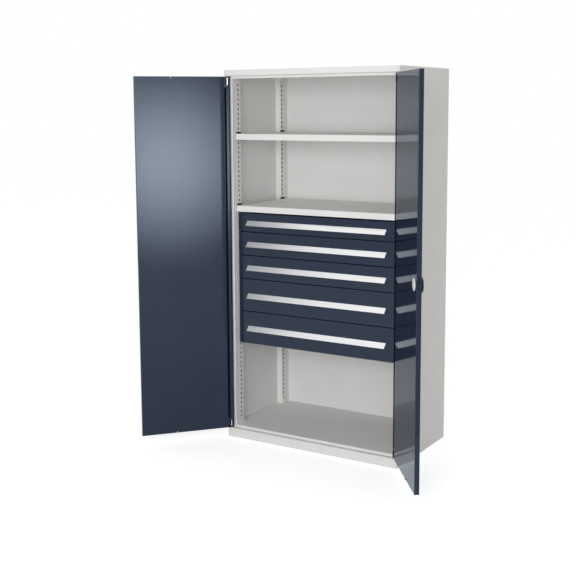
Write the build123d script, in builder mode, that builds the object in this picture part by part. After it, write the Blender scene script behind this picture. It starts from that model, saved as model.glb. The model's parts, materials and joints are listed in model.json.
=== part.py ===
from build123d import *
import os
from math import cos, radians, sin

# A two-door steel tool cabinet: one adjustable shelf, a covered stack of five drawers
# and an open bay above the floor. The front faces -Y and +Z is up. The origin lies on
# the ground, at the middle of the four floor anchor holes. Lengths are millimetres.

UP = Vector(0, 0, 1)
BACKWARD = Vector(0, 1, 0)
SIDES = (-1, 1)

# ------------------------------------------------------------------ driving dimensions
# Carcass
width = 1000.0
depth = 580.0
height = 1950.0
sheet = 1.25                # carcass, door and drawer steel
bend = 2.5                  # centre-line radius of the folds
reveal = 26.5               # the posts stand this far behind the fascia and the plinth
fascia_height = 30.0
header_lip = 14.0           # fold that hangs below the roof ledge, between the posts
plinth_height = 50.0
floor_lip = 12.0            # fold at the front of the floor panel
ledge_seat = 30.0           # how far the ledges run on under the posts
foot_flange = 25.0
rear_flange = 18.0          # width of the side panels' rear flanges
back_inset = 18.0           # the back panel stands this far inside the rear edge
roof_rear_fold = 14.0

# Posts and their slots
post_sheet = 1.5
post_face = 36.0            # width of a post's front face
front_post_depth = 72.0
front_post_flange = 88.0    # welded along the side panel, behind the post
rear_post_depth = 68.0      # from a rear post's face to the back panel
slot_pitch = 25.0
slot_width = 10.0
slot_height = 12.0
first_slot = 100.0
slot_end_margin = 45.0      # least height left between the last slot and the roof ledge
front_slot_inset = 47.0     # from the front post's face to its slots
rear_slot_inset = 10.0

# Shelves and their clips
shelf_gap = 5.0             # between a shelf's end and the post
shelf_setback = 18.0        # front edge of a shelf, behind the post's face
shelf_rear_gap = 8.0        # between a shelf and the back panel
shelf_edge = 31.0
shelf_return = 15.0
upper_shelf_slot = 60       # slot numbers, counted from the lowest slot
cover_shelf_slot = 45
clip_sheet = 2.0
clip_length = 40.0
clip_rise = 9.0             # how far a clip stands above its shelf
clip_drop = 8.0             # the shelf's underside lies this far below the clip's slot
clip_ledge = 12.0
tongue_length = 8.0
tongue_side_gap = 2.3       # room beside and above the tongue in its slot
tongue_end_gap = 1.6

# Drawers, from the top down
drawer_pitches = (100.0, 125.0, 125.0, 175.0, 175.0)
stack_to_shelf = 7.0        # gap above the top drawer front
front_gap = 3.0             # between two drawer fronts
front_side_gap = 3.0        # between a drawer front and the post
front_setback = 35.0        # a shut drawer's front face, behind the post's face
front_thickness = 18.0
box_below_top = 5.0
box_above_bottom = 6.0
box_hem = 8.0
box_rear_gap = 16.0         # between a shut drawer and the back panel
grip_margin = 56.0          # from a drawer front's end to its grip
grip_reach = 20.0
grip_height = 25.0
grip_drop = 3.5             # the grip's middle lies this far below the front's middle
grip_sheet = 2.5
grip_flange = 12.0
grip_web = 1.5

# Telescopic runners: cabinet rail, mid runner and drawer rail, one inside the other
runner_space = 14.5         # from the post to the drawer's side
runner_above_front = 34.0   # runner's middle above the foot of the drawer's pitch
rail_sheet = 1.4
rail_height = 40.0
rail_reach = 9.9
ball = 2.5                  # height of a row of balls in its cage
ball_play = 0.3
mid_offset = 3.0            # from the post to the mid runner's web
mid_reach = 8.5
drawer_rail_reach = 8.5
cage_width = 4.0
runner_front_gap = 1.0      # between the drawer front's rim and the runners

# Doors: s runs along the leaf from the hinge axis, d from the hinge axis inwards
left_door_open = 130.6      # degrees from shut, as the doors stand
right_door_open = 127.0
door_gap = 3.0              # between the two free edges
door_side_gap = 1.0
door_foot_gap = 2.0
door_head_gap = 3.0
door_thickness = 23.0
hinge_inset = 13.0          # hinge axis, in from the cabinet's side
hinge_setback = 11.0        # hinge axis, behind the door's outer face
hinge_lip_reach = 9.0       # edge of the lip that covers the hinge axis
hinge_lip_rise = 0.6        # the lip stands this far proud of the inner face
hinge_slant = (7.7, 6.6)    # slanted corner between the hinge-side wall and the lip
edge_lip = 15.0             # return lip along the free edge
inner_panel_start = 21.0    # inner panel's edge, from the hinge axis
inner_panel_bend = 42.0     # from here to its edge the inner panel slopes away
inner_panel_dip = 0.5       # how far it drops on the way
panel_play = 0.2
notch_margin_top = 8.0      # from the leaf's upper edge to the window that bares the pin
notch_margin_foot = 9.0
upper_notch_height = 37.0
lower_notch_height = 31.0
pin_radius = 4.0
pin_head_radius = 7.0
pin_head = 3.0
running = 0.05              # radial clearance of a shaft in its bore
block_reach = 8.0           # hinge block, from the axis along the leaf
block_height = 10.0
block_corner = 1.5          # corners cut off to clear the folds of the leaf
buffer_radius = 4.5
buffer_height = 3.2
buffer_along = 300.0
buffer_shift = 1.0          # from the middle of the lip that a buffer meets

# Lock on the right door
lock_from_edge = 53.5       # lock axis, in from the free edge
lock_height = 990.0
crank_throw = 14.0
crank_radius = 19.0
crank_plate = 2.0
crank_pin_radius = 3.0
crank_pin_length = 4.1
lower_rod_angle = 45        # degrees, where the pins stand with the rods drawn in
latch_angle = 135
upper_rod_angle = 225
pin_play = 0.6              # room for a crank pin in its slot
fork_half = 9.0             # half the height of a rod's fork
fork_mouth = 6.8            # open side of the fork, from the lock axis
fork_end = 21.0
stem = (8.0, 16.0)          # stem beside the spindle, from the lock axis
rod_foot = (24.0, 32.0)     # foot that joins the stem to the rod
spindle_radius = 6.0
spindle_room = 1.0          # round the spindle, in the leaf's two sheets
lock_plate = 3.0            # thickness of the rods' ends and of the latch
rod_plate_inset = 5.0       # rods' end plates, behind the door's outer face
layer_gap = 0.6             # between the crank and the plates beside it
rod_radius = 4.0
rod_hole_radius = 5.5
rod_back = 8.0              # rod axis, behind the door's outer face
rod_tip_gap = 1.0           # between a drawn-in rod and the door's edge
latch_tip_gap = 6.0         # between the drawn-in latch and the door's edge
latch_height = 54.0
latch_rise = 14.0           # latch's middle above the lock axis
latch_play = 1.0
latch_neck_reach = 20.0     # neck of the latch, over the spindle, from the lock axis
latch_neck_end = 8.0
latch_neck_top = 26.0
latch_neck_gap = 0.8
case_depth_at = 4.4         # lock case's plate, inside the hinge axis
case_low = 40.0
case_high = 52.0
case_near = 30.0            # case walls, either side of the lock axis
case_far = 28.0
guide_size = 16.0
guide_height = 20.0
guide_from_edge = 50.0
rosette_radius = 25.0
rosette_height = 3.0
handle_gap = 0.3
handle_half_length = 41.0
handle_half_width = 21.0
handle_height = 15.0
handle_crown_shift = 6.0    # the crown's middle lies this far below the lock axis
handle_shoulder = (0.6, 0.86, 0.88)     # share of the height, the width and the length
handle_crown_size = (0.55, 0.6)         # share of the width and the length
cylinder_radius = 8.0
cylinder_depth = 12.0
key_slot = (1.6, 9.0)
key_slot_depth = 6.0
disc_radius = 28.0
disc_height = 3.0

# Fixing to the building
anchor_inset_x = 60.0       # anchor hole, in from the cabinet's side
anchor_inset_y = 70.0       # anchor hole, in from the front and the rear
anchor_hole_radius = 5.5
anchor_plate = 4.0
anchor_margin = 35.0        # how far a plate runs on past its hole
wall_hole_spacing = 800.0
wall_hole_radius = 4.5
wall_hole_below_top = 26.0

# ----------------------------------------------------------------- derived positions
front = -depth / 2
back = depth / 2
inner_half = width / 2 - sheet
post_front = front + reveal
post_inner = width / 2 - post_face
roof_ledge = height - fascia_height
roof_underside = height - sheet
floor_top = plinth_height + floor_lip
back_inner = back - back_inset
rear_post_front = back_inner - rear_post_depth
front_slot_y = post_front + front_slot_inset
rear_slot_y = rear_post_front + rear_slot_inset
slot_count = int((roof_ledge - slot_end_margin - first_slot) / slot_pitch) + 1

shelf_half = post_inner - shelf_gap
shelf_front = post_front + shelf_setback
shelf_length = back_inner - shelf_rear_gap - shelf_front

drawer_face = post_front + front_setback
front_half = post_inner - front_side_gap
box_half = post_inner - runner_space
box_front = drawer_face + sheet
box_length = back_inner - box_rear_gap - box_front
runner_front = drawer_face + front_thickness + runner_front_gap
runner_length = box_front + box_length - runner_front

hinge_x = width / 2 - hinge_inset
hinge_y = front + hinge_setback
door_bottom = plinth_height + door_foot_gap
door_top = roof_ledge - door_head_gap
upper_notch = (
    door_top - notch_margin_top - upper_notch_height,
    door_top - notch_margin_top,
)
lower_notch = (
    door_bottom + notch_margin_foot,
    door_bottom + notch_margin_foot + lower_notch_height,
)
hinge_edge = door_side_gap - hinge_inset
free_edge = hinge_x - door_gap / 2
skin_outer = -hinge_setback
skin_inner = skin_outer + sheet
face_inner = door_thickness - hinge_setback
lip_outer = face_inner + hinge_lip_rise
lip_inner = lip_outer - sheet
slant_top = hinge_edge + hinge_slant[0]
slant_low = lip_outer - hinge_slant[1]
lock_along = free_edge - lock_from_edge
lock_x = hinge_x - lock_along
rod_d = rod_back - hinge_setback
rod_plate_d = skin_outer + rod_plate_inset
crank_front = rod_plate_d + lock_plate + layer_gap
crank_back = crank_front + crank_plate
latch_d = crank_back + layer_gap
latch_low = lock_height + latch_rise - latch_height / 2

os.makedirs("parts", exist_ok=True)


# ------------------------------------------------------------------------- helpers
def slot_z(number):
    """Height of a slot's middle."""
    return first_slot + slot_pitch * number


def shelf_underside(number):
    """Underside of a shelf whose clips hang in this slot."""
    return slot_z(number) - clip_drop


def front_plane(y):
    """Vertical plane at y, with x to the right and z up."""
    return Plane.XZ.offset(-y)


def folded(plane, points, thickness, radius=bend):
    """Section of a folded sheet, of even thickness about its centre line."""
    with BuildSketch(plane) as section:
        with BuildLine():
            FilletPolyline(*points, radius=radius)
        trace(line_width=thickness)
    return section.sketch


def outline(plane, points):
    """Face inside a closed line of straight sides."""
    with BuildSketch(plane) as section:
        with BuildLine():
            Polyline(*points, close=True)
        make_face()
    return section.sketch


def slab(plane, x_range, y_range):
    """Rectangle between two limits each way, in the plane's own axes."""
    with BuildSketch(plane) as section:
        with Locations((sum(x_range) / 2, sum(y_range) / 2)):
            Rectangle(abs(x_range[1] - x_range[0]), abs(y_range[1] - y_range[0]))
    return section.sketch


def disc(plane, x, y, radius):
    """Circle about a point of the plane."""
    with BuildSketch(plane) as section:
        with Locations((x, y)):
            Circle(radius)
    return section.sketch


def save(piece, name):
    """Label a finished piece and write its STEP file."""
    piece.part.label = name
    export_step(piece.part, f"parts/{name}.step")


class Door:
    """Planes of one door leaf where it stands open: s along the leaf, d inwards."""

    def __init__(self, side, opened):
        angle = radians(opened)
        self.axis = Vector(side * hinge_x, hinge_y, 0)
        self.along = Vector(-side * cos(angle), -sin(angle), 0)
        self.inward = Vector(-side * sin(angle), cos(angle), 0)

    def level(self, z):
        """Horizontal plane at height z, with x along the leaf and y inwards."""
        return Plane(
            origin=self.axis + UP * z,
            x_dir=self.along,
            z_dir=self.along.cross(self.inward),
        )

    def face(self, d):
        """Plane parallel to the leaf, with x along the leaf and y up."""
        return Plane(
            origin=self.axis + self.inward * d,
            x_dir=self.along,
            z_dir=self.along.cross(UP),
        )


left_door = Door(-1, left_door_open)
right_door = Door(1, right_door_open)


# ------------------------------------------------------------------------- carcass
def make_side_panel(name, side):
    """Side wall, notched at the front for the doors, with a flange at the rear."""
    with BuildPart() as panel:
        extrude(
            outline(
                Plane.YZ.offset(side * width / 2),
                [
                    (front, 0),
                    (back, 0),
                    (back, height),
                    (front, height),
                    (front, roof_ledge),
                    (post_front, roof_ledge),
                    (post_front, plinth_height),
                    (front, plinth_height),
                ],
            ),
            amount=sheet,
            dir=Vector(-side, 0, 0),
        )
        extrude(
            slab(
                Plane.XY,
                (side * (inner_half - rear_flange), side * inner_half),
                (back - sheet, back),
            ),
            amount=roof_underside,
        )
    save(panel, name)


def make_roof():
    """Top sheet with the fascia, the ledge over the doors, the header lip and a rear fold."""
    mid = sheet / 2
    with BuildPart() as roof:
        extrude(
            slab(Plane.XY.offset(roof_underside), (-inner_half, inner_half), (front, back)),
            amount=sheet,
        )
        extrude(
            folded(
                Plane.YZ.offset(-inner_half),
                [
                    (front + mid, roof_underside),
                    (front + mid, roof_ledge + mid),
                    (post_front + ledge_seat, roof_ledge + mid),
                ],
                sheet,
            ),
            amount=2 * inner_half,
        )
        extrude(
            slab(
                Plane.XY.offset(roof_ledge - header_lip),
                (-post_inner, post_inner),
                (post_front, post_front + sheet),
            ),
            amount=header_lip,
        )
        extrude(
            slab(
                Plane.XY.offset(height - roof_rear_fold),
                (rear_flange - inner_half, inner_half - rear_flange),
                (back - sheet, back),
            ),
            amount=roof_rear_fold - sheet,
        )
        for side in SIDES:
            extrude(
                disc(Plane.XY.offset(roof_ledge), side * hinge_x, hinge_y, pin_radius),
                amount=sheet,
                mode=Mode.SUBTRACT,
            )
        extrude(
            disc(Plane.XY.offset(roof_ledge), lock_x, front + rod_back, rod_hole_radius),
            amount=sheet,
            mode=Mode.SUBTRACT,
        )
    save(roof, "roof_panel")


def make_plinth():
    """Front and rear boards of the base, each folded to a ledge and a foot flange."""
    mid = sheet / 2
    ledge_end = post_front + ledge_seat
    with BuildPart() as plinth:
        extrude(
            folded(
                Plane.YZ.offset(-inner_half),
                [
                    (front + foot_flange, mid),
                    (front + mid, mid),
                    (front + mid, plinth_height - mid),
                    (ledge_end, plinth_height - mid),
                ],
                sheet,
            ),
            amount=2 * inner_half,
        )
        for side in SIDES:
            extrude(
                disc(
                    Plane.XY.offset(plinth_height - sheet),
                    side * hinge_x,
                    hinge_y,
                    pin_radius,
                ),
                amount=sheet,
                mode=Mode.SUBTRACT,
            )
        extrude(
            disc(
                Plane.XY.offset(plinth_height - sheet),
                lock_x,
                front + rod_back,
                rod_hole_radius,
            ),
            amount=sheet,
            mode=Mode.SUBTRACT,
        )
        extrude(
            folded(
                Plane.YZ.offset(rear_flange - inner_half),
                [
                    (back - foot_flange, mid),
                    (back - mid, mid),
                    (back - mid, plinth_height - mid),
                    (back_inner - ledge_seat, plinth_height - mid),
                ],
                sheet,
            ),
            amount=2 * (inner_half - rear_flange),
        )
    save(plinth, "plinth_boards")


def make_floor():
    """Floor panel with a fold at the front and the rear, notched round the front posts."""
    notch_back = post_front + front_post_depth + bend
    floor_half = inner_half - post_sheet
    with BuildPart() as floor:
        extrude(
            outline(
                Plane.XY.offset(floor_top - sheet),
                [
                    (-post_inner, post_front),
                    (post_inner, post_front),
                    (post_inner, notch_back),
                    (floor_half, notch_back),
                    (floor_half, back_inner),
                    (-floor_half, back_inner),
                    (-floor_half, notch_back),
                    (-post_inner, notch_back),
                ],
            ),
            amount=sheet,
        )
        for y in (post_front, back_inner - sheet):
            extrude(
                slab(
                    Plane.XY.offset(plinth_height),
                    (-post_inner, post_inner),
                    (y, y + sheet),
                ),
                amount=floor_lip - sheet,
            )
    save(floor, "floor_panel")


def make_back():
    """Back panel, with two holes for screws into the wall."""
    with BuildPart() as panel:
        extrude(
            slab(
                front_plane(back_inner),
                (-inner_half, inner_half),
                (plinth_height, roof_underside),
            ),
            amount=sheet,
            dir=BACKWARD,
        )
        for side in SIDES:
            extrude(
                disc(
                    front_plane(back_inner),
                    side * wall_hole_spacing / 2,
                    height - wall_hole_below_top,
                    wall_hole_radius,
                ),
                amount=sheet,
                dir=BACKWARD,
                mode=Mode.SUBTRACT,
            )
    save(panel, "back_panel")


def make_anchor_plates():
    """Corner plates inside the base, each with a hole for a floor anchor."""
    hole_x = width / 2 - anchor_inset_x
    hole_y = depth / 2 - anchor_inset_y
    plate_end = depth / 2 - foot_flange
    with BuildPart() as plates:
        for side in SIDES:
            for end in SIDES:
                extrude(
                    slab(
                        Plane.XY,
                        (side * (hole_x - anchor_margin), side * inner_half),
                        (end * (hole_y - anchor_margin), end * plate_end),
                    ),
                    amount=anchor_plate,
                )
                extrude(
                    disc(Plane.XY, side * hole_x, end * hole_y, anchor_hole_radius),
                    amount=anchor_plate,
                    mode=Mode.SUBTRACT,
                )
    save(plates, "floor_anchor_plates")


def make_post(name, side, points, low, high, slot_y):
    """Folded post with a column of slots in the face towards the bay."""
    with BuildPart() as post:
        extrude(
            folded(Plane.XY.offset(low), [(side * x, y) for x, y in points], post_sheet),
            amount=high - low,
            dir=UP,
        )
        with BuildSketch(Plane.YZ.offset(side * post_inner)):
            with Locations((slot_y, first_slot + slot_pitch * (slot_count - 1) / 2)):
                with GridLocations(slot_width, slot_pitch, 1, slot_count):
                    SlotOverall(slot_height, slot_width, rotation=90)
        extrude(amount=post_sheet, dir=Vector(side, 0, 0), mode=Mode.SUBTRACT)
    save(post, name)


def make_posts():
    """Four posts: the front ones close the gap beside the doors, the rear ones meet the back."""
    mid = post_sheet / 2
    web = post_inner + mid
    post_back = post_front + front_post_depth
    front_points = [
        (inner_half, post_front + mid),
        (web, post_front + mid),
        (web, post_back - mid),
        (inner_half - mid, post_back - mid),
        (inner_half - mid, post_back + front_post_flange),
    ]
    rear_points = [
        (inner_half, rear_post_front + mid),
        (web, rear_post_front + mid),
        (web, back_inner),
    ]
    for side, word in ((-1, "left"), (1, "right")):
        make_post(
            f"front_{word}_post", side, front_points, plinth_height, roof_ledge, front_slot_y
        )
        make_post(
            f"rear_{word}_post", side, rear_points, floor_top, roof_underside, rear_slot_y
        )


def make_shelf(name, underside):
    """Shelf: a tray folded down on all sides, with returned front and rear edges."""
    shelf_y = shelf_front + shelf_length / 2
    with BuildPart() as shelf:
        with BuildSketch(Plane.XY.offset(underside)):
            with Locations((0, shelf_y)):
                Rectangle(2 * shelf_half, shelf_length)
        extrude(amount=shelf_edge)
        fillet(shelf.edges().group_by(Axis.Z)[-1], radius=bend - sheet / 2)
        with BuildSketch(Plane.XY.offset(underside)):
            with Locations((0, shelf_y)):
                Rectangle(2 * (shelf_half - sheet), shelf_length - 2 * sheet)
        extrude(amount=shelf_edge - sheet, mode=Mode.SUBTRACT)
        with BuildSketch(Plane.XY.offset(underside)):
            with Locations((0, shelf_y)):
                with GridLocations(1, shelf_length - 2 * sheet - shelf_return, 1, 2):
                    Rectangle(2 * (shelf_half - sheet), shelf_return)
        extrude(amount=sheet)
    save(shelf, name)


def make_shelf_clips():
    """Clips that hook in the posts' slots: a plate with a ledge and a tongue."""
    inner = post_inner - clip_sheet
    with BuildPart() as clips:
        for number in (upper_shelf_slot, cover_shelf_slot):
            seat = shelf_underside(number)
            for side in SIDES:
                for slot_y in (front_slot_y, rear_slot_y):
                    y_range = (slot_y - clip_length / 2, slot_y + clip_length / 2)
                    extrude(
                        slab(
                            Plane.XY.offset(seat - clip_sheet),
                            (side * inner, side * post_inner),
                            y_range,
                        ),
                        amount=clip_sheet + shelf_edge + clip_rise,
                    )
                    extrude(
                        slab(
                            Plane.XY.offset(seat - clip_sheet),
                            (side * (inner - clip_ledge), side * inner),
                            y_range,
                        ),
                        amount=clip_sheet,
                    )
                    extrude(
                        slab(
                            Plane.YZ.offset(side * post_inner),
                            (
                                slot_y - slot_width / 2 + tongue_side_gap,
                                slot_y + slot_width / 2 - tongue_side_gap,
                            ),
                            (
                                slot_z(number) - slot_height / 2 + tongue_end_gap,
                                slot_z(number) + slot_height / 2 - tongue_end_gap,
                            ),
                        ),
                        amount=tongue_length,
                        dir=Vector(side, 0, 0),
                    )
    save(clips, "shelf_clips")


# ------------------------------------------------------------------------- drawers
def channel(y, z, side, web, reach, half):
    """C section whose web stands at this distance from the post; reach is its flanges' way."""
    sign = 1 if reach > 0 else -1
    tip = web + reach
    inside = web + sign * rail_sheet
    points = [
        (web, half),
        (tip, half),
        (tip, half - rail_sheet),
        (inside, half - rail_sheet),
        (inside, rail_sheet - half),
        (tip, rail_sheet - half),
        (tip, -half),
        (web, -half),
    ]
    return outline(front_plane(y), [(side * (post_inner - x), z + dz) for x, dz in points])


def runner_levels():
    """Height of every drawer's runners, from the top drawer down."""
    return [low + runner_above_front for low, high in drawer_spans()]


def drawer_spans():
    """Lowest and highest point of every drawer's place in the stack, from the top down."""
    top = shelf_underside(cover_shelf_slot) - stack_to_shelf
    spans = []
    for pitch in drawer_pitches:
        spans.append((top - pitch, top))
        top -= pitch
    return spans


cabinet_half = rail_height / 2
mid_half = cabinet_half - rail_sheet - ball - 2 * ball_play
drawer_rail_half = mid_half - rail_sheet - ball - 2 * ball_play


def make_cabinet_runners():
    """Outer rails, fixed to the front and the rear posts on each side of every drawer."""
    with BuildPart() as rails:
        for z in runner_levels():
            for side in SIDES:
                extrude(
                    channel(runner_front, z, side, 0, rail_reach, cabinet_half),
                    amount=runner_length,
                    dir=BACKWARD,
                )
    save(rails, "cabinet_runners")


def make_mid_runners(number, z):
    """Mid runners of one drawer, with the ball cages above and below each flange."""
    outer_cage = cabinet_half - rail_sheet - ball_play - ball
    inner_cage = mid_half - rail_sheet - ball_play - ball
    cage_x = mid_offset + mid_reach / 2 + rail_sheet / 2
    with BuildPart() as runners:
        for side in SIDES:
            extrude(
                channel(runner_front, z, side, mid_offset, mid_reach, mid_half),
                amount=runner_length,
                dir=BACKWARD,
            )
            for low in (outer_cage, -outer_cage - ball, inner_cage, -inner_cage - ball):
                extrude(
                    slab(
                        front_plane(runner_front),
                        (
                            side * (post_inner - cage_x - cage_width / 2),
                            side * (post_inner - cage_x + cage_width / 2),
                        ),
                        (z + low, z + low + ball),
                    ),
                    amount=runner_length,
                    dir=BACKWARD,
                )
    save(runners, f"drawer_{number}_mid_runners")


def make_drawer_rails(number, z):
    """Inner rails, fixed to the drawer's sides."""
    with BuildPart() as rails:
        for side in SIDES:
            extrude(
                channel(
                    runner_front, z, side, runner_space, -drawer_rail_reach, drawer_rail_half
                ),
                amount=runner_length,
                dir=BACKWARD,
            )
    save(rails, f"drawer_{number}_rails")


def make_drawer_front(number, low, high):
    """Drawer front: a sheet folded back on all four sides."""
    span = (low + front_gap / 2, high - front_gap / 2)
    with BuildPart() as panel:
        extrude(
            slab(front_plane(drawer_face), (-front_half, front_half), span),
            amount=front_thickness,
            dir=BACKWARD,
        )
        fillet(panel.edges().group_by(Axis.Y)[0], radius=bend - sheet / 2)
        extrude(
            slab(
                front_plane(drawer_face + sheet),
                (sheet - front_half, front_half - sheet),
                (span[0] + sheet, span[1] - sheet),
            ),
            amount=front_thickness - sheet,
            dir=BACKWARD,
            mode=Mode.SUBTRACT,
        )
    save(panel, f"drawer_{number}_front")


def make_drawer_box(number, low, high):
    """Drawer box: a tray behind the front, its upper edges hemmed inwards."""
    floor = low + front_gap / 2 + box_above_bottom
    rim = high - front_gap / 2 - box_below_top
    box_y = box_front + box_length / 2
    with BuildPart() as box:
        with BuildSketch(Plane.XY.offset(floor)):
            with Locations((0, box_y)):
                Rectangle(2 * box_half, box_length)
        extrude(amount=rim - floor)
        with BuildSketch(Plane.XY.offset(floor + sheet)):
            with Locations((0, box_y)):
                Rectangle(2 * (box_half - sheet), box_length - 2 * sheet)
        extrude(amount=rim - floor - sheet, mode=Mode.SUBTRACT)
        for side in SIDES:
            extrude(
                slab(
                    Plane.XY.offset(rim - sheet),
                    (side * (box_half - box_hem), side * (box_half - sheet)),
                    (box_front + sheet, box_front + box_length - sheet),
                ),
                amount=sheet,
            )
    save(box, f"drawer_{number}_box")


def make_grip(number, low, high):
    """Grip strip: it slopes out from the front, so that fingers reach up behind it."""
    middle = (low + high) / 2 - grip_drop
    top = middle + grip_height / 2
    bottom = middle - grip_height / 2
    slope = grip_height / grip_reach
    web_y = drawer_face - grip_web
    web_top = bottom + slope * (web_y - (drawer_face - grip_reach + grip_sheet))
    grip_half = front_half - grip_margin
    with BuildPart() as grip:
        extrude(
            outline(
                Plane.YZ.offset(-grip_half),
                [
                    (drawer_face, top),
                    (drawer_face - grip_reach, bottom),
                    (drawer_face - grip_reach + grip_sheet, bottom),
                    (web_y, web_top),
                    (web_y, top - grip_flange),
                    (drawer_face, top - grip_flange),
                ],
            ),
            amount=2 * grip_half,
        )
    save(grip, f"drawer_{number}_grip")


# --------------------------------------------------------------------------- doors
def make_door_shell(name, door, has_lock):
    """Outer pan of a leaf: skin, folded edges, and a lip that covers the hinge axis."""
    mid = sheet / 2
    with BuildPart() as shell:
        extrude(
            folded(
                door.level(door_bottom),
                [
                    (hinge_lip_reach, lip_outer - mid),
                    (slant_top, lip_outer - mid),
                    (hinge_edge + mid, slant_low),
                    (hinge_edge + mid, skin_outer + mid),
                    (free_edge - mid, skin_outer + mid),
                    (free_edge - mid, face_inner - mid),
                    (free_edge - edge_lip, face_inner - mid),
                ],
                sheet,
                radius=bend - mid,
            ),
            amount=door_top - door_bottom,
            dir=UP,
        )
        for z in (door_bottom, door_top - sheet):
            extrude(
                outline(
                    door.level(z),
                    [
                        (hinge_edge + sheet, skin_inner),
                        (free_edge - sheet, skin_inner),
                        (free_edge - sheet, face_inner - sheet),
                        (block_reach, face_inner - sheet),
                        (block_reach, lip_inner),
                        (slant_top, lip_inner),
                        (hinge_edge + sheet, slant_low),
                    ],
                ),
                amount=sheet,
                dir=UP,
            )
            extrude(
                disc(door.level(z), 0, 0, pin_radius + running),
                amount=sheet,
                dir=UP,
                mode=Mode.SUBTRACT,
            )
            if has_lock:
                extrude(
                    disc(door.level(z), lock_along, rod_d, rod_hole_radius),
                    amount=sheet,
                    dir=UP,
                    mode=Mode.SUBTRACT,
                )
        for low, high in (lower_notch, upper_notch):
            extrude(
                slab(
                    door.level(low),
                    (slant_top + block_corner, hinge_lip_reach + sheet),
                    (lip_inner, lip_outer),
                ),
                amount=high - low,
                dir=UP,
                mode=Mode.SUBTRACT,
            )
        # slot in the free edge for the latch
        extrude(
            slab(
                door.level(latch_low - latch_play),
                (free_edge - sheet, free_edge),
                (latch_d - latch_play, latch_d + lock_plate + latch_play),
            ),
            amount=latch_height + 2 * latch_play,
            dir=UP,
            mode=Mode.SUBTRACT,
        )
        if has_lock:
            extrude(
                disc(door.face(skin_outer), lock_along, lock_height, spindle_radius + spindle_room),
                amount=sheet,
                dir=door.inward,
                mode=Mode.SUBTRACT,
            )
    save(shell, name)


def make_inner_panel(name, door, has_lock):
    """Inner sheet of a leaf; its folded edge closes the recess beside the hinge axis."""
    mid = sheet / 2
    with BuildPart() as panel:
        extrude(
            folded(
                door.level(door_bottom + sheet),
                [
                    (inner_panel_start + mid, skin_inner),
                    (inner_panel_start + mid, face_inner - inner_panel_dip - mid),
                    (inner_panel_bend, face_inner - mid),
                    (free_edge - edge_lip - panel_play, face_inner - mid),
                ],
                sheet,
            ),
            amount=door_top - door_bottom - 2 * sheet,
            dir=UP,
        )
        if has_lock:
            extrude(
                disc(door.face(face_inner), lock_along, lock_height, spindle_radius + spindle_room),
                amount=sheet,
                dir=-door.inward,
                mode=Mode.SUBTRACT,
            )
    save(panel, name)


def make_hinge_blocks(name, door):
    """Bearing blocks for the hinge pins, above and below each bared stretch of pin."""
    spans = (
        (door_bottom + sheet, lower_notch[0]),
        (lower_notch[1], lower_notch[1] + block_height),
        (upper_notch[0] - block_height, upper_notch[0]),
        (upper_notch[1], door_top - sheet),
    )
    with BuildPart() as blocks:
        for low, high in spans:
            extrude(
                outline(
                    door.level(low),
                    [
                        (hinge_edge + sheet + block_corner, skin_inner),
                        (block_reach, skin_inner),
                        (block_reach, lip_inner),
                        (slant_top + block_corner, lip_inner),
                        (hinge_edge + sheet, slant_low - block_corner),
                        (hinge_edge + sheet, skin_inner + block_corner),
                    ],
                ),
                amount=high - low,
                dir=UP,
            )
            extrude(
                disc(door.level(low), 0, 0, pin_radius + running),
                amount=high - low,
                dir=UP,
                mode=Mode.SUBTRACT,
            )
    save(blocks, name)


def make_buffers(name, door):
    """Rubber buffers that meet the header and the floor lip when the door is shut."""
    heights = (
        plinth_height + floor_lip / 2 + buffer_shift,
        roof_ledge - header_lip / 2 - buffer_shift,
    )
    with BuildPart() as buffers:
        for z in heights:
            extrude(
                disc(door.face(face_inner), buffer_along, z, buffer_radius),
                amount=buffer_height,
                dir=door.inward,
            )
    save(buffers, name)


def make_hinge_pins():
    """Four pins with heads, held by the roof ledge and by the plinth ledge."""
    tips = (lower_notch[1] + block_height, upper_notch[0] - block_height)
    with BuildPart() as pins:
        for side in SIDES:
            foot = plinth_height - sheet
            extrude(
                disc(Plane.XY.offset(foot), side * hinge_x, hinge_y, pin_radius),
                amount=tips[0] - foot,
            )
            extrude(
                disc(Plane.XY.offset(foot - pin_head), side * hinge_x, hinge_y, pin_head_radius),
                amount=pin_head,
            )
            head = roof_ledge + sheet
            extrude(
                disc(Plane.XY.offset(tips[1]), side * hinge_x, hinge_y, pin_radius),
                amount=head - tips[1],
            )
            extrude(
                disc(Plane.XY.offset(head), side * hinge_x, hinge_y, pin_head_radius),
                amount=pin_head,
            )
    save(pins, "hinge_pins")


# ---------------------------------------------------------------------------- lock
def lock_slab(d, s_range, z_range):
    """Rectangle about the lock axis, in the right door's plane at depth d."""
    return slab(
        right_door.face(d),
        (lock_along + s_range[0], lock_along + s_range[1]),
        (lock_height + z_range[0], lock_height + z_range[1]),
    )


def lock_disc(d, radius, s=0.0, z=0.0):
    """Circle about a point given from the lock axis, in the right door's plane at depth d."""
    return disc(right_door.face(d), lock_along + s, lock_height + z, radius)


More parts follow.
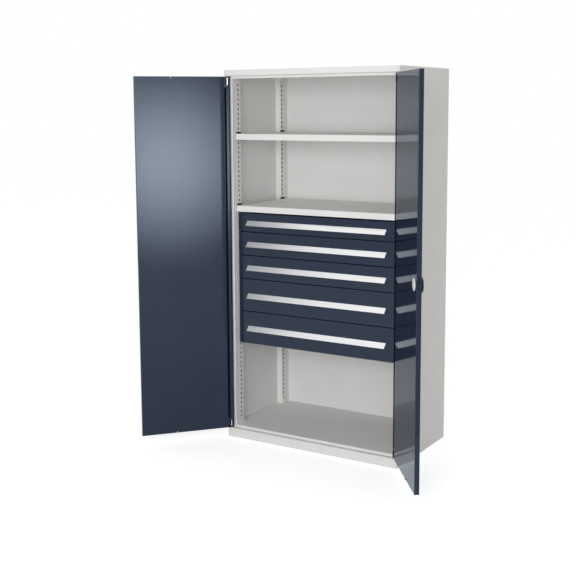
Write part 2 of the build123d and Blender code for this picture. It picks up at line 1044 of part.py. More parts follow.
def make_lock_case():
    """Bracket round the crank, with the spindle's inner bearing and the latch's slot."""
    inward = right_door.inward
    plate_mid = case_depth_at + sheet / 2
    with BuildPart() as case:
        extrude(
            folded(
                right_door.level(lock_height - case_low),
                [
                    (lock_along - case_far, skin_inner),
                    (lock_along - case_far, plate_mid),
                    (lock_along + case_near, plate_mid),
                    (lock_along + case_near, skin_inner),
                ],
                sheet,
            ),
            amount=case_low + case_high,
            dir=UP,
        )
        extrude(
            lock_disc(case_depth_at, spindle_radius + running),
            amount=sheet,
            dir=inward,
            mode=Mode.SUBTRACT,
        )
        extrude(
            slab(
                right_door.level(latch_low - latch_play),
                (lock_along + case_near - sheet, lock_along + case_near + sheet),
                (latch_d - latch_play, latch_d + lock_plate + latch_play),
            ),
            amount=latch_height + 2 * latch_play,
            dir=UP,
            mode=Mode.SUBTRACT,
        )
    save(case, "lock_case")


def make_rod_guides():
    """Guide blocks for the lock rods near the top and the bottom of the right door."""
    with BuildPart() as guides:
        for z in (door_bottom + guide_from_edge, door_top - guide_from_edge - guide_height):
            extrude(
                slab(
                    right_door.level(z),
                    (lock_along - guide_size / 2, lock_along + guide_size / 2),
                    (skin_inner, rod_d + guide_size / 2),
                ),
                amount=guide_height,
                dir=UP,
            )
            extrude(
                disc(right_door.level(z), lock_along, rod_d, rod_radius + running),
                amount=guide_height,
                dir=UP,
                mode=Mode.SUBTRACT,
            )
    save(guides, "rod_guides")


def make_rosette():
    """Collar round the spindle on the door's outer face."""
    outward = -right_door.inward
    with BuildPart() as rosette:
        extrude(lock_disc(skin_outer, rosette_radius), amount=rosette_height, dir=outward)
        extrude(
            lock_disc(skin_outer, spindle_radius + running),
            amount=rosette_height,
            dir=outward,
            mode=Mode.SUBTRACT,
        )
    save(rosette, "lock_rosette")


def make_cover_disc():
    """Round plate on the door's inner face, over the spindle's end."""
    inward = right_door.inward
    with BuildPart() as cover:
        extrude(lock_disc(face_inner, disc_radius), amount=disc_height, dir=inward)
        extrude(
            lock_disc(face_inner, spindle_radius + running),
            amount=disc_height,
            dir=inward,
            mode=Mode.SUBTRACT,
        )
    save(cover, "lock_cover_disc")


handle_base = skin_outer - rosette_height - handle_gap
handle_crown = handle_base - handle_height


def make_handle():
    """Turning handle: an oval dome, blunter at its lower end, bored for the key cylinder."""
    inward = right_door.inward
    rise, shoulder_wide, shoulder_long = handle_shoulder
    crown_wide, crown_long = handle_crown_size
    with BuildPart() as handle:
        with BuildSketch(right_door.face(handle_base)):
            with Locations((lock_along, lock_height)):
                Ellipse(handle_half_width, handle_half_length)
        with BuildSketch(right_door.face(handle_base - handle_height * rise)):
            with Locations((lock_along, lock_height - handle_crown_shift / 2)):
                Ellipse(handle_half_width * shoulder_wide, handle_half_length * shoulder_long)
        with BuildSketch(right_door.face(handle_crown)):
            with Locations((lock_along, lock_height - handle_crown_shift)):
                Ellipse(handle_half_width * crown_wide, handle_half_length * crown_long)
        loft()
        extrude(
            lock_disc(handle_crown, cylinder_radius + running),
            amount=cylinder_depth,
            dir=inward,
            mode=Mode.SUBTRACT,
        )
    save(handle, "lock_handle")


def make_key_cylinder():
    """Key cylinder in the handle, with its key slot."""
    inward = right_door.inward
    with BuildPart() as cylinder:
        extrude(
            lock_disc(handle_crown, cylinder_radius),
            amount=cylinder_depth - handle_gap,
            dir=inward,
        )
        extrude(
            lock_slab(
                handle_crown,
                (-key_slot[0] / 2, key_slot[0] / 2),
                (-key_slot[1] / 2, key_slot[1] / 2),
            ),
            amount=key_slot_depth,
            dir=inward,
            mode=Mode.SUBTRACT,
        )
    save(cylinder, "key_cylinder")


def make_spindle():
    """Spindle from the handle to the cover disc."""
    inward = right_door.inward
    with BuildPart() as spindle:
        extrude(
            lock_disc(handle_base, spindle_radius),
            amount=face_inner + disc_height - handle_base,
            dir=inward,
        )
    save(spindle, "lock_spindle")


def crank_point(degrees):
    """Place of a crank pin, from the lock axis, at this angle from the s direction."""
    return (crank_throw * cos(radians(degrees)), crank_throw * sin(radians(degrees)))


def make_crank():
    """Crank on the spindle: pins to the front for the rods, and to the back for the latch."""
    inward = right_door.inward
    with BuildPart() as crank:
        extrude(lock_disc(crank_front, crank_radius), amount=crank_plate, dir=inward)
        for angle, d, way in (
            (lower_rod_angle, crank_front, -inward),
            (upper_rod_angle, crank_front, -inward),
            (latch_angle, crank_back, inward),
        ):
            extrude(
                lock_disc(d, crank_pin_radius, *crank_point(angle)),
                amount=crank_pin_length,
                dir=way,
            )
        extrude(
            lock_disc(crank_front, spindle_radius),
            amount=crank_plate,
            dir=inward,
            mode=Mode.SUBTRACT,
        )
    save(crank, "lock_crank")


def make_lock_rod(name, way):
    """Lock rod with a forked end plate; way is +1 for the upper rod and -1 for the lower."""
    inward = right_door.inward
    throw = crank_point(lower_rod_angle)[0]
    play = crank_pin_radius + pin_play
    side = -way
    prong = (throw - fork_half, throw + fork_half)
    plates = (
        ((fork_mouth, fork_end), prong),
        (stem, (-rod_foot[1], prong[0])),
        ((-rod_radius, stem[1]), (-rod_foot[1], -rod_foot[0])),
    )
    start = lock_height + way * sum(rod_foot) / 2
    tip = door_top - rod_tip_gap if way > 0 else door_bottom + rod_tip_gap
    with BuildPart() as rod:
        for s_range, z_range in plates:
            extrude(
                lock_slab(
                    rod_plate_d,
                    [side * s for s in s_range],
                    [-way * z for z in z_range],
                ),
                amount=lock_plate,
                dir=inward,
            )
        extrude(
            lock_slab(
                rod_plate_d,
                (side * fork_mouth, side * (crank_throw + play)),
                (-way * (throw - play), -way * (throw + play)),
            ),
            amount=lock_plate,
            dir=inward,
            mode=Mode.SUBTRACT,
        )
        extrude(
            disc(right_door.level(start), lock_along, rod_d, rod_radius),
            amount=abs(tip - start),
            dir=UP * way,
        )
    save(rod, name)


def make_latch():
    """Latch plate: it runs out of the free edge, and its fork takes the crank's third pin."""
    inward = right_door.inward
    throw = crank_point(lower_rod_angle)[0]
    play = crank_pin_radius + pin_play
    low = latch_low - lock_height
    high = low + latch_height
    with BuildPart() as latch:
        extrude(
            lock_slab(latch_d, (latch_neck_end, lock_from_edge - latch_tip_gap), (low, high)),
            amount=lock_plate,
            dir=inward,
        )
        extrude(
            lock_slab(
                latch_d,
                (-latch_neck_reach, latch_neck_end),
                (spindle_radius + latch_neck_gap, latch_neck_top),
            ),
            amount=lock_plate,
            dir=inward,
        )
        extrude(
            lock_slab(
                latch_d,
                (-throw - play, play - throw),
                (spindle_radius, crank_throw + play),
            ),
            amount=lock_plate,
            dir=inward,
            mode=Mode.SUBTRACT,
        )
    save(latch, "latch_bolt")


# ------------------------------------------------------------------------ assembly
make_side_panel("left_side_panel", -1)
make_side_panel("right_side_panel", 1)
make_roof()
make_plinth()
make_floor()
make_back()
make_anchor_plates()
make_posts()
make_shelf("upper_shelf", shelf_underside(upper_shelf_slot))
make_shelf("drawer_cover_shelf", shelf_underside(cover_shelf_slot))
make_shelf_clips()
make_cabinet_runners()
make_hinge_pins()

for number, (low, high) in enumerate(drawer_spans(), start=1):
    make_drawer_front(number, low, high)
    make_drawer_box(number, low, high)
    make_grip(number, low, high)
    make_drawer_rails(number, low + runner_above_front)
    make_mid_runners(number, low + runner_above_front)

for word, door, has_lock in (("left", left_door, False), ("right", right_door, True)):
    make_door_shell(f"{word}_door_shell", door, has_lock)
    make_inner_panel(f"{word}_door_inner_panel", door, has_lock)
    make_hinge_blocks(f"{word}_door_hinge_blocks", door)
    make_buffers(f"{word}_door_buffers", door)

make_lock_case()
make_rod_guides()
make_rosette()
make_cover_disc()
make_handle()
make_key_cylinder()
make_spindle()
make_crank()
make_lock_rod("upper_lock_rod", 1)
make_lock_rod("lower_lock_rod", -1)
make_latch()
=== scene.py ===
import json
from math import cos, pi, radians, sin

import bmesh
import bpy
from mathutils import Matrix, Vector


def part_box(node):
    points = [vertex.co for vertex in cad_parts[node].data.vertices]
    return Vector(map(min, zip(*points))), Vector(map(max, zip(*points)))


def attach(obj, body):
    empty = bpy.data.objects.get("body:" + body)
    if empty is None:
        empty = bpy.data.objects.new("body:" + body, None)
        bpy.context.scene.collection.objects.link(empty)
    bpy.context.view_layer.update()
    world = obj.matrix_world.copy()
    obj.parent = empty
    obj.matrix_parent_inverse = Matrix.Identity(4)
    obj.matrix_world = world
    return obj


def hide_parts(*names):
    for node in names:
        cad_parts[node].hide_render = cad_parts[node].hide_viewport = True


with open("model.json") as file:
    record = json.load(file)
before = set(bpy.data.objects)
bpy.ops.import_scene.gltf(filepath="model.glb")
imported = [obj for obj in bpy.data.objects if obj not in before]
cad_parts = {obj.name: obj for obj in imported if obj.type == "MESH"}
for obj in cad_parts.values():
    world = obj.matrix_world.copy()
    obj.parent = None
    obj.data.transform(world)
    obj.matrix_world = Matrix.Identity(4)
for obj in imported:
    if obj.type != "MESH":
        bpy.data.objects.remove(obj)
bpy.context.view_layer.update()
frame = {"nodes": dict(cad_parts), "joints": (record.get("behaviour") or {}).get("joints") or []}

scene = bpy.context.scene
scene.view_settings.view_transform = "Standard"

UP = Vector((0, 0, 1))

noise_low = 0.3                # most of a noise's values lie between these two
noise_high = 0.7
crease = radians(35)           # edges sharper than this stay sharp when shaded


# ------------------------------------------------------------------------ materials
class Surface:
    """One material: its shader, the coordinates of the rest frame, and short node makers."""

    def __init__(self, name, color, roughness, **sockets):
        self.material = bpy.data.materials.new(name)
        self.material.use_nodes = True
        self.tree = self.material.node_tree
        self.shader = self.tree.nodes["Principled BSDF"]
        self.shader.inputs["Base Color"].default_value = (*color, 1)
        self.shader.inputs["Roughness"].default_value = roughness
        for socket, value in sockets.items():
            self.shader.inputs[socket.replace("_", " ")].default_value = value
        self.place = self.tree.nodes.new("ShaderNodeTexCoord").outputs["Object"]

    def link(self, source, target):
        """Wire one socket to another."""
        self.tree.links.new(source, target)

    def stretched(self, scale):
        """Coordinates scaled differently along X, Y and Z."""
        mapping = self.tree.nodes.new("ShaderNodeMapping")
        mapping.inputs["Scale"].default_value = scale
        self.link(self.place, mapping.inputs["Vector"])
        return mapping.outputs["Vector"]

    def noise(self, scale, detail=2.0, stretch=None):
        """Noise with this many cells to the metre."""
        node = self.tree.nodes.new("ShaderNodeTexNoise")
        node.inputs["Scale"].default_value = scale
        node.inputs["Detail"].default_value = detail
        self.link(self.stretched(stretch) if stretch else self.place, node.inputs["Vector"])
        return node.outputs["Fac"]

    def spread(self, value, low, high):
        """The middle part of a noise, spread over this range."""
        node = self.tree.nodes.new("ShaderNodeMapRange")
        node.inputs["From Min"].default_value = noise_low
        node.inputs["From Max"].default_value = noise_high
        node.inputs["To Min"].default_value = low
        node.inputs["To Max"].default_value = high
        self.link(value, node.inputs["Value"])
        return node.outputs["Result"]

    def color(self, value, dark, light):
        """Base colour between two tones."""
        ramp = self.tree.nodes.new("ShaderNodeValToRGB")
        ramp.color_ramp.elements[0].position = noise_low
        ramp.color_ramp.elements[0].color = (*dark, 1)
        ramp.color_ramp.elements[1].position = noise_high
        ramp.color_ramp.elements[1].color = (*light, 1)
        self.link(value, ramp.inputs["Fac"])
        self.link(ramp.outputs["Color"], self.shader.inputs["Base Color"])

    def rough(self, value, low, high):
        """Roughness between two values."""
        self.link(self.spread(value, low, high), self.shader.inputs["Roughness"])

    def bump(self, *layers):
        """Bump from layers of (height, depth in metres), one on the other."""
        normal = None
        for height, distance in layers:
            node = self.tree.nodes.new("ShaderNodeBump")
            node.inputs["Distance"].default_value = distance
            self.link(height, node.inputs["Height"])
            if normal:
                self.link(normal, node.inputs["Normal"])
            normal = node.outputs["Normal"]
        self.link(normal, self.shader.inputs["Normal"])


def body_paint():
    """Light grey powder coat: semi-gloss, with a fine grain and faint orange peel, and a painted
    shade inside the hollows behind the posts.
    """
    paint = Surface("body_paint", (0.79, 0.782, 0.77), 0.4, Specular_IOR_Level=0.4)
    paint.color(paint.noise(6, 4), (0.775, 0.767, 0.755), (0.805, 0.797, 0.785))
    paint.rough(paint.noise(40, 3), 0.36, 0.46)
    paint.bump((paint.noise(90, 1), 0.00005), (paint.noise(700, 2), 0.00002))
    # Painted shade: a near-black base colour in the hollows behind the slotted posts, so that
    # the slots show dark.
    post_shade_mix = paint.tree.nodes.new("ShaderNodeMix")
    post_shade_mix.data_type = "RGBA"
    post_shade_mix.inputs["B"].default_value = (0.02, 0.019, 0.018, 1)
    painted = paint.shader.inputs["Base Color"].links[0].from_socket
    paint.link(post_hollow_shade(paint), post_shade_mix.inputs["Factor"])
    paint.link(painted, post_shade_mix.inputs["A"])
    paint.link(post_shade_mix.outputs["Result"], paint.shader.inputs["Base Color"])
    return paint.material


# Closed hollows between the slotted posts and the side panels, as ranges in metres; the body
# paint takes a painted shade inside them.
hollow_across = (0.4642, 0.4989)
hollow_front = (-0.2629, -0.1924)
hollow_rear = (0.2048, 0.2715)
hollow_rise = (0.09, 1.90)


def post_hollow_shade(paint):
    """One in the hollows behind the posts, which take a painted shade, and zero elsewhere."""
    tree = paint.tree
    parts = tree.nodes.new("ShaderNodeSeparateXYZ")
    paint.link(paint.place, parts.inputs["Vector"])
    out = tree.nodes.new("ShaderNodeMath")
    out.operation = "ABSOLUTE"
    paint.link(parts.outputs["X"], out.inputs[0])

    def between(value, limits):
        low, high = limits
        node = tree.nodes.new("ShaderNodeMath")
        node.operation = "COMPARE"
        node.inputs[1].default_value = (low + high) / 2
        node.inputs[2].default_value = (high - low) / 2
        paint.link(value, node.inputs[0])
        return node.outputs["Value"]

    def joined(operation, first, second):
        node = tree.nodes.new("ShaderNodeMath")
        node.operation = operation
        paint.link(first, node.inputs[0])
        paint.link(second, node.inputs[1])
        return node.outputs["Value"]

    front = between(parts.outputs["Y"], hollow_front)
    rear = between(parts.outputs["Y"], hollow_rear)
    beside = between(out.outputs["Value"], hollow_across)
    below_roof = between(parts.outputs["Z"], hollow_rise)
    hollow = joined("ADD", front, rear)
    return joined("MULTIPLY", joined("MULTIPLY", beside, below_roof), hollow)


def door_paint():
    """Dark blue-grey powder coat: smooth and glossy, with a faint long-wave orange peel."""
    paint = Surface("door_paint", (0.009, 0.014, 0.036), 0.08, Specular_IOR_Level=0.28)
    paint.shader.inputs["Specular Tint"].default_value = (0.80, 0.92, 1.0, 1)
    paint.color(paint.noise(9, 4), (0.0078, 0.0126, 0.0330), (0.0102, 0.0154, 0.0390))
    paint.rough(paint.noise(25, 3), 0.065, 0.10)
    paint.bump((paint.noise(60, 1), 0.00002), (paint.noise(600, 2), 0.000004))
    tree = paint.tree
    slant = tree.nodes.new("ShaderNodeFresnel")
    slant.inputs["IOR"].default_value = 1.45
    tinted = tree.nodes.new("ShaderNodeBsdfAnisotropic")
    tinted.inputs["Color"].default_value = (0.195, 0.252, 0.322, 1)
    tinted.inputs["Roughness"].default_value = 0.07
    mix = tree.nodes.new("ShaderNodeMixShader")
    normal = paint.shader.inputs["Normal"].links[0].from_socket
    paint.link(normal, slant.inputs["Normal"])
    paint.link(normal, tinted.inputs["Normal"])
    paint.link(slant.outputs["Fac"], mix.inputs["Fac"])
    paint.link(paint.shader.outputs["BSDF"], mix.inputs[1])
    paint.link(tinted.outputs["BSDF"], mix.inputs[2])
    paint.link(mix.outputs["Shader"], tree.nodes["Material Output"].inputs["Surface"])
    return paint.material


def zinc_steel():
    """Zinc-plated steel: drawn streaks along the rails, cloudy, slightly blue."""
    zinc = Surface("zinc_steel", (0.74, 0.75, 0.77), 0.3, Metallic=1.0)
    zinc.color(zinc.noise(35, 4), (0.66, 0.67, 0.70), (0.80, 0.81, 0.82))
    zinc.rough(zinc.noise(60, 4, (1, 0.08, 1)), 0.22, 0.38)
    zinc.bump((zinc.noise(900, 2, (1, 0.03, 1)), 0.00001), (zinc.noise(150, 2), 0.00001))
    return zinc.material


def grip_aluminium():
    """Clear anodised extrusion: satin, with fine lines along the grip."""
    grip = Surface("grip_aluminium", (0.93, 0.93, 0.94), 0.3, Metallic=1.0)
    grip.color(grip.noise(20, 3, (0.3, 1, 1)), (0.91, 0.91, 0.92), (0.95, 0.95, 0.955))
    grip.rough(grip.noise(300, 3, (0.01, 1, 1)), 0.26, 0.38)
    grip.bump((grip.noise(1500, 2, (0.01, 1, 1)), 0.00001))
    return grip.material


def black_plastic():
    """Black moulded plastic with a fine spark-eroded grain."""
    plastic = Surface("black_plastic", (0.003, 0.003, 0.004), 0.45, Specular_IOR_Level=0.08)
    plastic.color(plastic.noise(60, 3), (0.002, 0.002, 0.003), (0.004, 0.004, 0.005))
    plastic.rough(plastic.noise(400, 2), 0.4, 0.52)
    plastic.bump((plastic.noise(1800, 2), 0.00002))
    return plastic.material


def guide_plastic():
    """Natural moulded plastic: rod guides, rollers, washers and the spindle's cover."""
    plastic = Surface("guide_plastic", (0.79, 0.79, 0.79), 0.45)
    plastic.color(plastic.noise(50, 3), (0.77, 0.77, 0.77), (0.81, 0.81, 0.81))
    plastic.rough(plastic.noise(200, 2), 0.4, 0.52)
    plastic.bump((plastic.noise(1200, 2), 0.00002))
    return plastic.material


def bright_chrome():
    """Polished chrome with faint wipe marks."""
    chrome = Surface("bright_chrome", (0.82, 0.83, 0.84), 0.08, Metallic=1.0)
    chrome.color(chrome.noise(80, 3), (0.79, 0.80, 0.81), (0.85, 0.86, 0.87))
    chrome.rough(chrome.noise(300, 4), 0.05, 0.14)
    chrome.bump((chrome.noise(900, 2), 0.000004))
    return chrome.material


def buffer_rubber():
    """Matt grey rubber."""
    rubber = Surface("buffer_rubber", (0.28, 0.29, 0.31), 0.75)
    rubber.color(rubber.noise(120, 3), (0.26, 0.27, 0.29), (0.30, 0.31, 0.33))
    rubber.rough(rubber.noise(300, 2), 0.65, 0.85)
    rubber.bump((rubber.noise(1500, 3), 0.00003))
    return rubber.material


def black_steel():
    """Blackened steel: oiled, with a faint brown cloud."""
    steel = Surface("black_steel", (0.009, 0.009, 0.010), 0.5, Specular_IOR_Level=0.15)
    steel.color(steel.noise(70, 4), (0.006, 0.006, 0.007), (0.013, 0.012, 0.012))
    steel.rough(steel.noise(250, 3), 0.42, 0.6)
    steel.bump((steel.noise(1200, 2), 0.00001))
    return steel.material


finishes = {
    maker.__name__: maker()
    for maker in (
        body_paint,
        door_paint,
        zinc_steel,
        grip_aluminium,
        black_plastic,
        guide_plastic,
        bright_chrome,
        buffer_rubber,
        black_steel,
    )
}

for node in frame["nodes"].values():
    for slot in node.material_slots:
        slot.material = finishes[slot.material.name.split(".")[0]]


# ---------------------------------------------------------------------- fittings
def add_piece(name, mesh, slot, body):
    """Finished mesh as a piece in the rest frame, smooth where it is round."""
    for face in mesh.faces:
        face.smooth = True
    for edge in mesh.edges:
        if len(edge.link_faces) == 2 and edge.calc_face_angle() > crease:
            edge.smooth = False
    data = bpy.data.meshes.new(name)
    mesh.to_mesh(data)
    mesh.free()
    data.materials.append(finishes[slot])
    piece = bpy.data.objects.new(name, data)
    scene.collection.objects.link(piece)
    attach(piece, body)
    return piece


def lathe(mesh, base, axis, profile, turns=48):
    """Turned form: profile gives (radius, height) pairs along the axis from the base."""
    axis = Vector(axis).normalized()
    side = axis.orthogonal().normalized()
    across = axis.cross(side)
    rings = []
    for radius, height in profile:
        middle = Vector(base) + axis * height
        if radius == 0:
            rings.append([mesh.verts.new(middle)])
            continue
        ring = []
        for step in range(turns):
            angle = 2 * pi * step / turns
            ring.append(
                mesh.verts.new(middle + radius * (cos(angle) * side + sin(angle) * across))
            )
        rings.append(ring)
    for inner, outer in zip(rings, rings[1:]):
        for step in range(turns):
            corners = [
                inner[step % len(inner)],
                inner[(step + 1) % len(inner)],
                outer[(step + 1) % len(outer)],
                outer[step % len(outer)],
            ]
            kept = [v for i, v in enumerate(corners) if v not in corners[:i]]
            if len(kept) > 2:
                mesh.faces.new(kept)


def domed(radius, height, rim, bore=0.0, steps=10):
    """Profile of a shallow dome with a rounded rim, from its edge to its crown or bore."""
    shoulder = radius - rim * 0.4
    profile = [(radius, 0), (radius, rim * 0.6), (shoulder, rim)]
    for step in range(1, steps + 1):
        share = step / steps
        out = shoulder * (1 - share) + bore * share
        profile.append((out, rim + (height - rim) * (1 - (out / radius) ** 2)))
    if bore:
        profile.append((bore, 0))
    return profile


def joint(name):
    """The frame's entry for this joint."""
    return next(j for j in frame["joints"] if j["name"] == name)


def farthest(node, direction):
    """How far a node reaches in this direction."""
    return max(direction.dot(vertex.co) for vertex in frame["nodes"][node].data.vertices)


def make_cover_dome():
    """Pressed cover over the spindle's end, on the door's inner face."""
    disc_thickness = 0.003
    radius = 0.029
    height = 0.0045
    rim = 0.0015
    bore = 0.0062
    lock = joint("lock_handle_turn")
    inward = -Vector(lock["axis"]).normalized()
    base = Vector(lock["pos_m"])
    base += inward * (farthest("lock_cover_disc", inward) - disc_thickness - inward.dot(base))
    mesh = bmesh.new()
    lathe(mesh, base, inward, domed(radius, height, rim, bore))
    cover = add_piece("lock_cover_dome", mesh, "guide_plastic", "right_door")
    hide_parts("lock_cover_disc")


def make_cylinder_ring():
    """Bright ring round the key cylinder's mouth."""
    mouth = 0.0082
    edge = 0.0102
    crown = 0.001
    lock = joint("key_turn")
    outward = Vector(lock["axis"]).normalized()
    base = Vector(lock["pos_m"])
    base += outward * (farthest("key_cylinder", outward) - outward.dot(base))
    profile = [
        (mouth, -0.4 * crown),
        (mouth, 0.6 * crown),
        (mouth + 0.5 * crown, crown),
        (edge - 0.6 * crown, 0.8 * crown),
        (edge, 0),
    ]
    mesh = bmesh.new()
    lathe(mesh, base, outward, profile)
    add_piece("key_cylinder_ring", mesh, "bright_chrome", "lock_handle")


def make_hinge_washers():
    """Plastic washers that carry the doors on their lower pins and steady the upper ones."""
    bore = 0.0042
    radius = 0.007
    chamfer = 0.0003
    lower_rise = -0.002
    upper_rise = 0.003
    for side in ("left", "right"):
        x, y, _ = joint(f"{side}_door_hinge")["pos_m"]
        low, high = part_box(f"{side}_door_shell")
        mesh = bmesh.new()
        for z, rise in ((low.z, lower_rise), (high.z, upper_rise)):
            rim = chamfer if rise > 0 else -chamfer
            profile = [
                (bore, 0),
                (radius - chamfer, 0),
                (radius, rim),
                (radius, rise - rim),
                (radius - chamfer, rise),
                (bore, rise),
                (bore, 0),
            ]
            lathe(mesh, (x, y, z), UP, profile, turns=32)
        add_piece(f"{side}_hinge_washers", mesh, "guide_plastic", f"{side}_door")


def make_rail_fittings(number):
    """Rivets along both drawer rails, and the roller at each rail's front end."""
    flange = 0.0071
    rivet = domed(radius=0.004, height=0.0018, rim=0.0006)
    rivet_places = (0.14, 0.5, 0.86)
    roller_setback = 0.009
    chamfer = 0.0006
    pin_radius = 0.0028
    pin_length = 0.0062
    pin = [
        (pin_radius, 0),
        (pin_radius, pin_length - 0.0007),
        (pin_radius - chamfer, pin_length),
        (0, pin_length),
    ]
    bore = 0.003
    tread = 0.0068
    near = 0.0006
    far = 0.0052
    tyre = [
        (bore, near),
        (tread - chamfer, near),
        (tread, near + chamfer),
        (tread, far - chamfer),
        (tread - chamfer, far),
        (bore, far),
        (bore, near),
    ]
    low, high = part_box(f"drawer_{number}_rails")
    middle = (low.z + high.z) / 2
    web = high.x - flange
    rivets = bmesh.new()
    rollers = bmesh.new()
    for side in (-1, 1):
        outwards = Vector((side, 0, 0))
        for share in rivet_places:
            y = low.y + (high.y - low.y) * share
            lathe(rivets, (side * web, y, middle), outwards, rivet, turns=24)
        y = low.y + roller_setback
        lathe(rivets, (side * web, y, middle), outwards, pin, turns=24)
        lathe(rollers, (side * web, y, middle), outwards, tyre, turns=32)
    add_piece(f"drawer_{number}_rivets", rivets, "zinc_steel", f"drawer_{number}")
    add_piece(f"drawer_{number}_rollers", rollers, "guide_plastic", f"drawer_{number}")


drawer_count = 5

make_cover_dome()
make_cylinder_ring()
make_hinge_washers()
for number in range(1, drawer_count + 1):
    make_rail_fittings(number)


# ---------------------------------------------------------------------- studio
def add_card(name, half_width, half_height, material, matrix=None):
    """Flat sheet of the studio, which isn't part of the object."""
    mesh = bpy.data.meshes.new(name)
    corners = [
        (-half_width, -half_height, 0),
        (half_width, -half_height, 0),
        (half_width, half_height, 0),
        (-half_width, half_height, 0),
    ]
    mesh.from_pydata(corners, [], [(0, 1, 2, 3)])
    mesh.materials.append(material)
    card = bpy.data.objects.new(name, mesh)
    scene.collection.objects.link(card)
    if matrix:
        card.matrix_world = matrix
    return card


def aimed(position, target):
    """Matrix at a position, with -Z towards the target."""
    position = Vector(position)
    turn = (Vector(target) - position).to_track_quat("-Z", "Y")
    return Matrix.Translation(position) @ turn.to_matrix().to_4x4()


def shows_background(tree):
    """One for rays to the camera, in reflections and through glass, and zero for the rest."""
    path = tree.nodes.new("ShaderNodeLightPath")
    seen = path.outputs["Is Camera Ray"]
    for ray in ("Is Glossy Ray", "Is Transmission Ray"):
        larger = tree.nodes.new("ShaderNodeMath")
        larger.operation = "MAXIMUM"
        tree.links.new(seen, larger.inputs[0])
        tree.links.new(path.outputs[ray], larger.inputs[1])
        seen = larger.outputs["Value"]
    return seen


def floor_paper():
    """White paper: it keeps shadows, and its glow makes the rest of it plain white."""
    paper = Surface("floor_paper", (0.86, 0.86, 0.86), 0.9, Specular_IOR_Level=0.0)
    paper.color(paper.noise(3, 2), (0.855, 0.855, 0.855), (0.865, 0.865, 0.865))
    tree = paper.tree
    glow = tree.nodes.new("ShaderNodeEmission")
    glow.inputs["Color"].default_value = (0.970, 0.982, 1.0, 1)
    glow.inputs["Strength"].default_value = 0.585
    none = tree.nodes.new("ShaderNodeEmission")
    none.inputs["Strength"].default_value = 0.0
    mix = tree.nodes.new("ShaderNodeMixShader")
    total = tree.nodes.new("ShaderNodeAddShader")
    paper.link(shows_background(tree), mix.inputs["Fac"])
    paper.link(none.outputs["Emission"], mix.inputs[1])
    paper.link(glow.outputs["Emission"], mix.inputs[2])
    paper.link(paper.shader.outputs["BSDF"], total.inputs[0])
    paper.link(mix.outputs["Shader"], total.inputs[1])
    paper.link(total.outputs["Shader"], tree.nodes["Material Output"].inputs["Surface"])
    return paper.material


floor_reach = 40.0
add_card("floor", floor_reach, floor_reach, floor_paper())


def make_world():
    """White where it is seen, and a softer grey as a light."""
    world = bpy.data.worlds.new("studio")
    scene.world = world
    world.use_nodes = True
    tree = world.node_tree
    tree.nodes.clear()
    light = tree.nodes.new("ShaderNodeBackground")
    light.inputs["Color"].default_value = (1, 0.985, 0.96, 1)
    light.inputs["Strength"].default_value = 0.5
    backdrop = tree.nodes.new("ShaderNodeBackground")
    backdrop.inputs["Color"].default_value = (1, 1, 1, 1)
    backdrop.inputs["Strength"].default_value = 1.0
    mix = tree.nodes.new("ShaderNodeMixShader")
    output = tree.nodes.new("ShaderNodeOutputWorld")
    tree.links.new(shows_background(tree), mix.inputs["Fac"])
    tree.links.new(light.outputs["Background"], mix.inputs[1])
    tree.links.new(backdrop.outputs["Background"], mix.inputs[2])
    tree.links.new(mix.outputs["Shader"], output.inputs["Surface"])


make_world()

middle_of_cabinet = (0, 0, 1.0)


def add_softbox(name, position, width, height, power):
    """Rectangular soft lamp, aimed at the cabinet's middle."""
    lamp = bpy.data.lights.new(name, "AREA")
    lamp.shape = "RECTANGLE"
    lamp.size = width
    lamp.size_y = height
    lamp.energy = power
    lamp.color = (0.98, 0.99, 1.0)
    box = bpy.data.objects.new(name, lamp)
    box.matrix_world = aimed(position, middle_of_cabinet)
    scene.collection.objects.link(box)


add_softbox("key", (1.5, -6.4, 2.0), width=3.0, height=2.4, power=170)
add_softbox("side", (3.6, -4.6, 2.6), width=2.4, height=2.4, power=32)


def bare_material(name):
    """New material with nothing but its output node."""
    material = bpy.data.materials.new(name)
    material.use_nodes = True
    tree = material.node_tree
    tree.nodes.clear()
    return material, tree, tree.nodes.new("ShaderNodeOutputMaterial").inputs["Surface"]


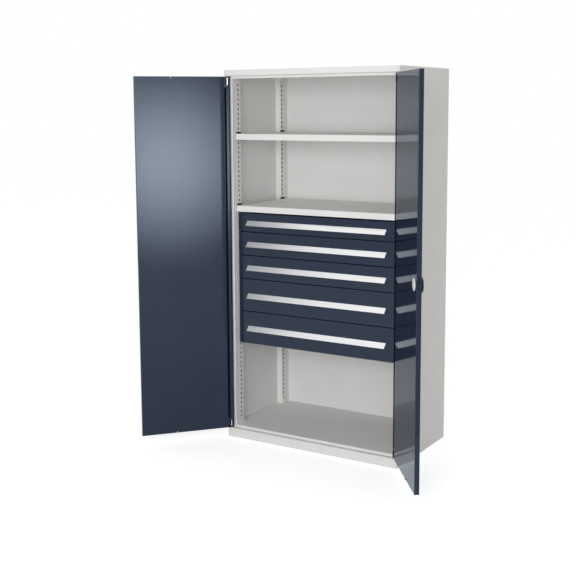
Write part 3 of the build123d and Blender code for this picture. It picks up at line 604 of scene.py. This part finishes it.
def diffuser_cloth(radius):
    """Cloth lit from behind, brightest in its middle and clear at its rim."""
    material, tree, surface = bare_material("diffuser")
    place = tree.nodes.new("ShaderNodeTexCoord")
    shape = tree.nodes.new("ShaderNodeMapping")
    shape.inputs["Scale"].default_value = (1 / radius, 1 / radius, 1)
    fade = tree.nodes.new("ShaderNodeTexGradient")
    fade.gradient_type = "SPHERICAL"
    soft = tree.nodes.new("ShaderNodeMapRange")
    soft.interpolation_type = "SMOOTHSTEP"
    strength = tree.nodes.new("ShaderNodeMath")
    strength.operation = "MULTIPLY"
    strength.inputs[1].default_value = 9.6
    glowing = tree.nodes.new("ShaderNodeEmission")
    glowing.inputs["Color"].default_value = (1.0, 1.0, 1.0, 1)
    clear = tree.nodes.new("ShaderNodeBsdfTransparent")
    both = tree.nodes.new("ShaderNodeAddShader")
    tree.links.new(place.outputs["Object"], shape.inputs["Vector"])
    tree.links.new(shape.outputs["Vector"], fade.inputs["Vector"])
    tree.links.new(fade.outputs["Fac"], soft.inputs["Value"])
    tree.links.new(soft.outputs["Result"], strength.inputs[0])
    tree.links.new(strength.outputs["Value"], glowing.inputs["Strength"])
    tree.links.new(glowing.outputs["Emission"], both.inputs[0])
    tree.links.new(clear.outputs["BSDF"], both.inputs[1])
    tree.links.new(both.outputs["Shader"], surface)
    return material


def flag_card():
    """Pale card."""
    material, tree, surface = bare_material("flag")
    pale = tree.nodes.new("ShaderNodeEmission")
    pale.inputs["Color"].default_value = (1.0, 1.0, 1.0, 1)
    pale.inputs["Strength"].default_value = 0.9
    tree.links.new(pale.outputs["Emission"], surface)
    return material


def show_in_gloss_only(card):
    """Hide a card from all rays but the glossy ones."""
    for ray in ("camera", "diffuse", "shadow", "transmission", "volume_scatter"):
        setattr(card, f"visible_{ray}", False)


def make_diffuser():
    """Round diffuser to the right: it shows only as the soft gleam in the glossy paint."""
    radius = 1.11
    distance = 4.2
    gleam = Vector((-0.681, -0.524, 1.487))
    direction = Vector((0.8645, -0.5001, -0.0519))
    place = aimed(gleam + distance * direction, gleam)
    show_in_gloss_only(add_card("diffuser", radius, radius, diffuser_cloth(radius), place))


def make_flag():
    """Card that keeps the diffuser's gleam off the right door's edge."""
    half_width = 0.10
    half_height = 0.93
    place = aimed((1.084, -0.926, 1.12), (0.779, -0.667, 1.12))
    show_in_gloss_only(add_card("flag", half_width, half_height, flag_card(), place))


make_diffuser()
make_flag()


# ---------------------------------------------------------------------- camera
def make_camera():
    """Camera to the right of the cabinet, turned to the left and looking slightly down."""
    place = Vector((2.5713, -4.6448, 1.7597))
    yaw = radians(31.691)
    pitch = radians(7.544)
    roll = radians(-0.317)
    forward = Vector((-sin(yaw) * cos(pitch), cos(yaw) * cos(pitch), -sin(pitch)))
    right = Vector((cos(yaw), sin(yaw), 0))
    up = right.cross(forward)
    across = cos(roll) * right + sin(roll) * up
    upward = cos(roll) * up - sin(roll) * right
    lens = bpy.data.cameras.new("camera")
    lens.sensor_width = 36
    lens.lens = 63.662
    lens.shift_y = -0.08
    camera = bpy.data.objects.new("camera", lens)
    turn = Matrix((across, upward, -forward)).transposed().to_4x4()
    camera.matrix_world = Matrix.Translation(place) @ turn
    scene.collection.objects.link(camera)
    scene.camera = camera


make_camera()
